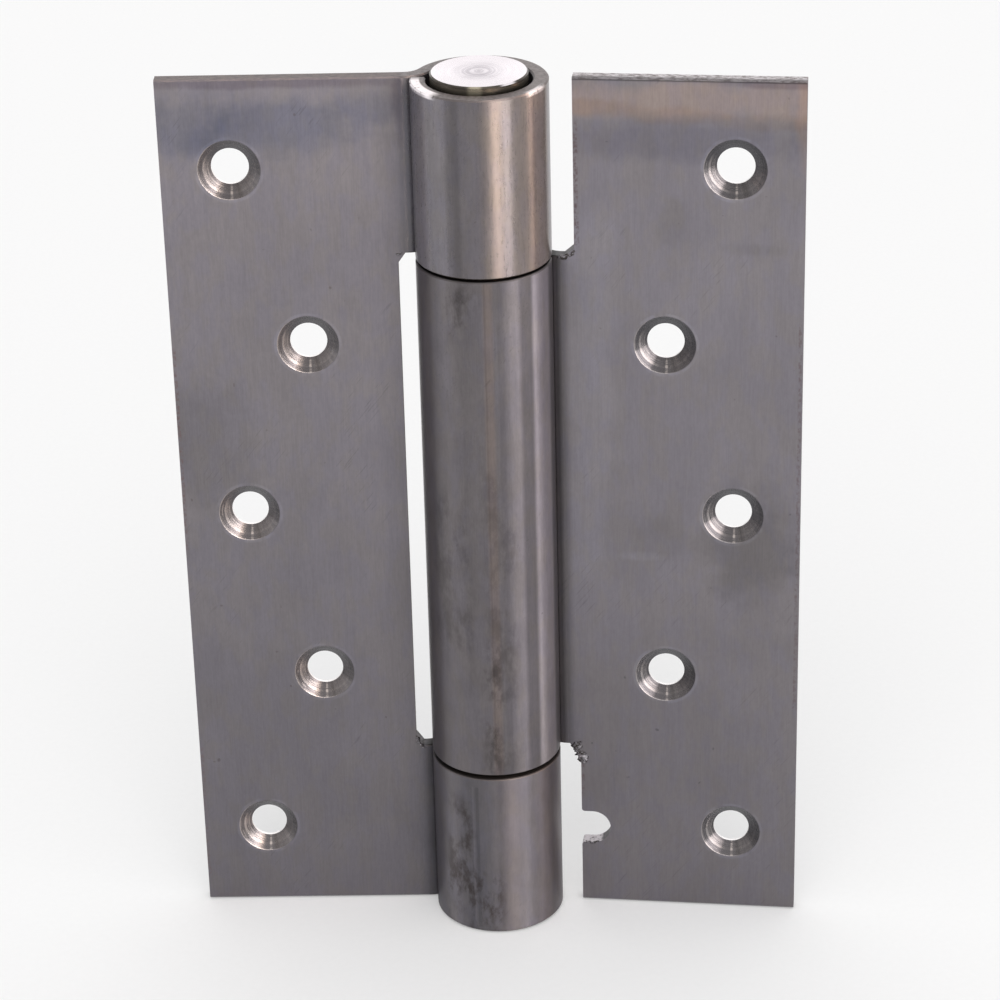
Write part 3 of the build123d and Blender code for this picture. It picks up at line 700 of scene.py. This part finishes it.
def add_burrs():
    """Burrs at the corners of the cut-outs and along the foot of the notch."""
    torn = torn_material()
    front = PLATE_FRONT + 0.05 * MM
    fixed, sprung = "fixed_leaf", "sprung_leaf"
    lower_fixed = [
        (-FIXED_EDGE - 0.1 * MM, front, LOWER_KNUCKLE_TOP + 2.0 * MM),
        (-FIXED_EDGE + 0.4 * MM, front, LOWER_KNUCKLE_TOP + 0.7 * MM),
        (-FIXED_EDGE + 1.1 * MM, front, LOWER_KNUCKLE_TOP - 0.3 * MM),
        (-KNUCKLE_RADIUS - 1.3 * MM, front, LOWER_KNUCKLE_TOP - 0.3 * MM),
    ]
    upper_fixed = [
        (-FIXED_EDGE - 0.6 * MM, front, UPPER_BOTTOM - 0.1 * MM),
        (-FIXED_EDGE + 0.3 * MM, front, UPPER_BOTTOM - 0.1 * MM),
        (-FIXED_EDGE + 1.1 * MM, front, UPPER_BOTTOM + 0.1 * MM),
    ]
    lower_sprung = [
        (SPRUNG_EDGE + 0.4 * MM, front, MIDDLE_BOTTOM - 3.8 * MM),
        (SPRUNG_EDGE + 0.4 * MM, front, MIDDLE_BOTTOM - 2.6 * MM),
        (SPRUNG_EDGE - 0.3 * MM, front, MIDDLE_BOTTOM - 1.2 * MM),
        (SPRUNG_EDGE - 1.1 * MM, front, MIDDLE_BOTTOM + 0.4 * MM),
    ]
    upper_sprung = [
        (SPRUNG_EDGE + 0.2 * MM, front, MIDDLE_TOP + 1.1 * MM),
        (SPRUNG_EDGE - 0.5 * MM, front, MIDDLE_TOP + 0.3 * MM),
        (SPRUNG_EDGE - 1.6 * MM, front, MIDDLE_TOP - 0.2 * MM),
        (SPRUNG_EDGE - 2.8 * MM, front, MIDDLE_TOP - 0.2 * MM),
    ]
    notch_foot = [
        (SPRUNG_EDGE + 0.3 * MM, front, NOTCH_LEVEL - NOTCH_HALF - 0.1 * MM),
        (SPRUNG_EDGE + 1.8 * MM, front, NOTCH_LEVEL - NOTCH_HALF - 0.05 * MM),
        (SPRUNG_EDGE + 3.0 * MM, front, NOTCH_LEVEL - NOTCH_HALF + 0.3 * MM),
    ]
    burr("burr_lower_fixed", "fixed_side", fixed, lower_fixed, 0.20 * MM, 2.2, torn, 1)
    burr("burr_upper_fixed", "fixed_side", fixed, upper_fixed, 0.18 * MM, 1.4, torn, 2)
    burr("burr_lower_sprung", "sprung_side", sprung, lower_sprung, 0.40 * MM, 2.6, torn, 3)
    burr("burr_upper_sprung", "sprung_side", sprung, upper_sprung, 0.20 * MM, 2.2, torn, 4)
    burr("burr_notch", "sprung_side", sprung, notch_foot, 0.20 * MM, 1.2, torn, 5)


def add_floor():
    bpy.ops.mesh.primitive_plane_add(size=FLOOR_SIZE, location=(0, 0, FLOOR_TOP))
    floor = bpy.context.object
    floor.name = "floor"
    floor.data.materials.append(floor_material())


def add_softbox(name, azimuth, distance, level, width, height, radiance, color, receivers=None):
    """A soft light that faces the hinge; the azimuth runs from the front to the right."""
    data = bpy.data.lights.new(name, "AREA")
    data.shape = "RECTANGLE"
    data.size = width
    data.size_y = height
    data.energy = radiance * pi * width * height
    data.color = color
    lamp = bpy.data.objects.new(name, data)
    angle = radians(azimuth)
    lamp.location = (distance * sin(angle), -distance * cos(angle), level)
    toward = Vector((0, 0, HEIGHT / 2)) - lamp.location
    lamp.rotation_euler = toward.to_track_quat("-Z", "Y").to_euler()
    lamp.visible_camera = False
    if receivers is not None:
        lamp.light_linking.receiver_collection = receivers
    bpy.context.scene.collection.objects.link(lamp)


def add_window(name, azimuth, width, radiance, color, receivers):
    """A tall soft window that lights one leaf alone."""
    size = (width, WINDOW_HEIGHT)
    add_softbox(name, azimuth, WINDOW_DISTANCE, WINDOW_LEVEL, *size, radiance, color, receivers)


def lit_pieces(name, start):
    """The pieces of the hinge whose names begin so, for a light kept off the rest."""
    group = bpy.data.collections.new(name)
    for piece in bpy.context.scene.objects:
        if piece.type == "MESH" and piece.name != "floor" and piece.name.startswith(start):
            group.objects.link(piece)
    return group


def add_camera():
    """The camera at the photograph's viewing angle."""
    level = cos(CAMERA_PITCH)
    forward = Vector((sin(CAMERA_YAW) * level, cos(CAMERA_YAW) * level, sin(CAMERA_PITCH)))
    right = forward.cross(Vector((0, 0, 1))).normalized()
    up = right.cross(forward)
    rolled_right = right * cos(CAMERA_ROLL) + up * sin(CAMERA_ROLL)
    rolled_up = up * cos(CAMERA_ROLL) - right * sin(CAMERA_ROLL)
    turn = Matrix((rolled_right, rolled_up, -forward)).transposed()
    data = bpy.data.cameras.new("camera")
    data.sensor_width = SENSOR_WIDTH
    data.lens = FOCAL_PIXELS * SENSOR_WIDTH / PHOTO_WIDTH
    camera = bpy.data.objects.new("camera", data)
    camera.matrix_world = Matrix.Translation(CAMERA_PLACE) @ turn.to_4x4()
    bpy.context.scene.collection.objects.link(camera)
    bpy.context.scene.camera = camera


def add_world(left, right, strength):
    """Pale surroundings, a little brighter on the right than on the left."""
    world = bpy.data.worlds.new("studio")
    world.use_nodes = True
    tree = world.node_tree
    direction = tree.nodes.new("ShaderNodeTexCoord")
    parts = tree.nodes.new("ShaderNodeSeparateXYZ")
    side = tree.nodes.new("ShaderNodeMapRange")
    tree.links.new(direction.outputs["Generated"], parts.inputs[0])
    tree.links.new(parts.outputs[0], side.inputs[0])
    for index, value in enumerate((-1.0, 1.0, left, right), start=1):
        side.inputs[index].default_value = value
    background = tree.nodes["Background"]
    tree.links.new(side.outputs[0], background.inputs[0])
    background.inputs[1].default_value = strength
    bpy.context.scene.world = world


# Tone and top: a tint for the whole leaf, and the dull and bright colour of its top face; the sprung leaf's
# bright top is a painted highlight
# Patches: tint, middle x and z, half width and height, strength; the pale ones are painted highlights, the
# shade-tint ones painted shade
# Reflection and polish bands, painted reflections round a knuckle: from and to height, angle, half width,
# softness, change of tone and of roughness
# Hues: like the bands, with a tint, the tan one a painted warm reflection; stains: from and to height,
# angle, half width, strength
# Shines, painted highlights on the top shoulder: angle, half width, width of the rim, strength; all angles
# are in degrees
# Nicks: x, from and to height, strength
# Crease shade and brow shadow: how dark the painted shade by the knuckle and the painted shadow under the
# top are
FIXED_MARKS = {
    "tone": (0.66, 0.66, 0.67),
    "top": (CUT_MIDDLE, TOP_DULL),
    "crease_shade": 0.12,
    "brow_shadow": 0.0,
    "patches": [
        (COOL, -47 * MM, 144.2 * MM, 9 * MM, 6.4 * MM, 0.8),
        (COOL, -32 * MM, 144.0 * MM, 17 * MM, 5.4 * MM, 0.8),
        (COOL, -18 * MM, 146.5 * MM, 8 * MM, 3.2 * MM, 0.6),
        # Painted shade under the top edge and beside the knuckle
        (SHADE_TINT, -32 * MM, 151.4 * MM, 30 * MM, 1.2 * MM, 0.8),
        (SHADE_TINT, -12.5 * MM, 148.0 * MM, 1.8 * MM, 7 * MM, 0.7),
        (DULL, -46 * MM, 88.0 * MM, 9 * MM, 12 * MM, 0.6),
    ],
    # Painted reflection bands on the fixed leaf's knuckles, with real polish in the roughness
    "reflection_and_polish_bands": [
        (UPPER_BOTTOM, HEIGHT, 0, 180, 1, -0.12, -0.11),
        (UPPER_BOTTOM, HEIGHT, -62, 9, 8, 0.75, 0.0),
        (UPPER_BOTTOM, HEIGHT, -10, 10, 8, -0.20, 0.0),
        (UPPER_BOTTOM, HEIGHT, -23, 4, 4, -0.20, 0.0),
        (UPPER_BOTTOM, HEIGHT, 63, 8, 5, 0.35, 0.0),
        (0.0, LOWER_KNUCKLE_TOP, 0, 180, 1, -0.38, 0.10),
        (0.0, LOWER_KNUCKLE_TOP, -58, 14, 14, 0.45, 0.0),
        (0.0, LOWER_KNUCKLE_TOP, 13, 7, 8, -0.26, 0.0),
        (0.0, LOWER_KNUCKLE_TOP, 54, 4, 8, -0.26, 0.0),
        (0.0, LOWER_KNUCKLE_TOP, 77, 4, 8, 0.35, 0.0),
        (2 * MM, LOWER_KNUCKLE_TOP - 2 * MM, -21.5, 0.4, 0.8, 0.16, 0.0),
        (1 * MM, LOWER_KNUCKLE_TOP - 2 * MM, -17.5, 0.8, 1.5, -0.20, 0.0),
    ],
    "stains": [
        (8 * MM, 23 * MM, -35, 8, 0.85),
        (2 * MM, 9 * MM, -14, 12, 1.0),
        (1 * MM, 10 * MM, -46, 6, 0.6),
    ],
    # The tan hue is a painted warm reflection on the upper knuckle
    "hues": [(UPPER_BOTTOM, HEIGHT, 38, 32, 10, TAN_REFLECTION), (0.0, LOWER_KNUCKLE_TOP, 18, 40, 20, SLATE)],
    # Painted highlights on the top shoulder
    "shines": [(-66, 18, 1.7 * MM, 0.9), (57, 5, 0.9 * MM, 0.6)],
    "nicks": [(-FIXED_OUTER_EDGE, 70 * MM, 105 * MM, 0.7), (-FIXED_OUTER_EDGE, 5 * MM, 30 * MM, 0.4)],
}
SPRUNG_MARKS = {
    "tone": (0.89, 0.86, 0.845),
    # The bright top colour is a painted highlight
    "top": (TOP_DULL, TOP_HIGHLIGHT),
    "crease_shade": 0.42,
    "brow_shadow": 0.60,
    "patches": [
        (WARM, 34 * MM, 148.7 * MM, 30 * MM, 3.4 * MM, 0.95),
        (AMBER, 51.4 * MM, 146.0 * MM, 1.6 * MM, 9 * MM, 0.9),
        (RUST, 19 * MM, 147.2 * MM, 7 * MM, 1.5 * MM, 0.8),
        (RUST, 31 * MM, 145.8 * MM, 9 * MM, 1.5 * MM, 0.7),
        (RUST, 44 * MM, 145.0 * MM, 9 * MM, 1.5 * MM, 0.6),
        (CLOUD, 32 * MM, 141.6 * MM, 26 * MM, 3.6 * MM, 0.9),
        # Painted shadow under the top edge
        (SHADE_TINT, 46 * MM, 151.4 * MM, 9 * MM, 0.9 * MM, 0.8),
        (DULL, 30.4 * MM, 127.5 * MM, 3 * MM, 5 * MM, 0.35),
        (DULL, 43.8 * MM, 123.6 * MM, 6 * MM, 1.2 * MM, 0.4),
        (DULL, 28.2 * MM, 71.6 * MM, 5 * MM, 4.5 * MM, 0.35),
        (DULL, 43.5 * MM, 70.5 * MM, 9 * MM, 11 * MM, 0.9),
        # Painted highlights: a bright streak and a lighter stripe by the knuckle
        (PALE_HIGHLIGHT, 25.0 * MM, 68.0 * MM, 4 * MM, 0.9 * MM, 0.6),
        (PALE_HIGHLIGHT, 16.5 * MM, 100.0 * MM, 5 * MM, 45 * MM, 0.6),
    ],
    # Painted reflection bands on the middle knuckle
    "reflection_and_polish_bands": [
        (MIDDLE_BOTTOM, MIDDLE_TOP, 0, 180, 1, -0.36, 0.0),
        (MIDDLE_BOTTOM, MIDDLE_TOP, -36, 8, 4, 0.04, 0.0),
        (MIDDLE_BOTTOM, MIDDLE_TOP, 7, 0.4, 0.8, -0.12, 0.0),
        (MIDDLE_BOTTOM, MIDDLE_TOP, 20, 1.5, 2.5, -0.10, 0.0),
        (MIDDLE_BOTTOM, MIDDLE_TOP, 32, 3, 6, 0.12, 0.0),
        (MIDDLE_BOTTOM, MIDDLE_TOP, 44, 4, 5, -0.36, 0.0),
        (MIDDLE_BOTTOM, MIDDLE_TOP, 64, 9, 7, 1.1, 0.0),
    ],
    "stains": [
        (MIDDLE_TOP - 7 * MM, MIDDLE_TOP - 3 * MM, -13, 6, 0.7),
        (MIDDLE_BOTTOM + 25 * MM, MIDDLE_BOTTOM + 50 * MM, -30, 14, 0.35),
        (MIDDLE_BOTTOM + 4 * MM, MIDDLE_BOTTOM + 55 * MM, 16, 8, 0.35),
        (MIDDLE_BOTTOM + 2 * MM, MIDDLE_BOTTOM + 22 * MM, 6, 2, 0.6),
    ],
    "hues": [(MIDDLE_BOTTOM, MIDDLE_TOP, 9.5, 2, 4, COPPER)],
    "shines": [],
    "nicks": [
        (SPRUNG_EDGE + 0.5 * MM, UPPER_BOTTOM + 2 * MM, HEIGHT - 8 * MM, 0.7),
        (SPRUNG_EDGE + 0.1 * MM, UPPER_BOTTOM + 2 * MM, HEIGHT - 10 * MM, 0.6),
        (SPRUNG_EDGE + 0.2 * MM, 22 * MM, MIDDLE_BOTTOM - 4 * MM, 0.8),
        (SPRUNG_OUTER_EDGE, 40 * MM, 110 * MM, 0.5),
    ],
}

# Colours of the lights
AMBER_LIGHT = (1.0, 0.72, 0.56)
WARM_LIGHT = (1.0, 0.81, 0.66)
SOFT_LIGHT = (1.0, 0.92, 0.90)
NEUTRAL_LIGHT = (1.0, 0.98, 0.98)

fixed_steel = leaf_material("brushed_fixed_leaf", "fixed_leaf", 0.0, FIXED_MARKS)
sprung_steel = leaf_material("brushed_sprung_leaf", "sprung_leaf", REST_ANGLE, SPRUNG_MARKS)
paint("fixed_leaf", fixed_steel)
paint("sprung_leaf", sprung_steel)
paint("top_plug", turned_material("turned_plug", PLUG_DARK, PLUG_LIGHT, PLUG_SIDE_GLINT, 0.26, PLUG_PITCH, 1.5))
steel = turned_material("turned_steel", STEEL_DARK, STEEL_LIGHT)
bronze = turned_material("turned_bronze", BRONZE_DARK, BRONZE_LIGHT)
for node in ("bottom_plug", "top_plug_pin", "bottom_plug_pin", "spring_anchor", "spring_anchor_pin"):
    paint(node, steel)
for node in ("torsion_spring", "tension_adjuster", "tension_pin"):
    paint(node, steel)
for node in ("upper_bush", "lower_bush", "upper_thrust_washer", "lower_thrust_washer"):
    paint(node, bronze)
add_spring()
add_burrs()

add_floor()
add_world(0.75, 1.0, 1.06)
fixed = lit_pieces("lit_fixed_leaf", "fixed_leaf")
sprung = lit_pieces("lit_sprung_leaf", "sprung_leaf")
add_window("window_front_warm", 26, 0.17, 18.0, WARM_LIGHT, fixed)
add_window("window_front_pale", 43, 0.15, 15.0, SOFT_LIGHT, fixed)
add_window("window_right", 91, 0.13, 16.0, AMBER_LIGHT, fixed)
add_window("window_left", -78, 0.45, 1.4, NEUTRAL_LIGHT, fixed)
add_window("window_middle", 72, 0.80, 4.2, SOFT_LIGHT, sprung)
add_window("window_middle_left", -63, 0.30, 1.2, NEUTRAL_LIGHT, sprung)
add_softbox("window_back", 180, 1.10, 0.60, 1.60, 0.80, 0.35, NEUTRAL_LIGHT)
add_softbox("ceiling_front", 0, 1.00, 1.20, 1.20, 0.80, 1.9, NEUTRAL_LIGHT)
add_camera()
bpy.context.scene.view_settings.view_transform = "Standard"
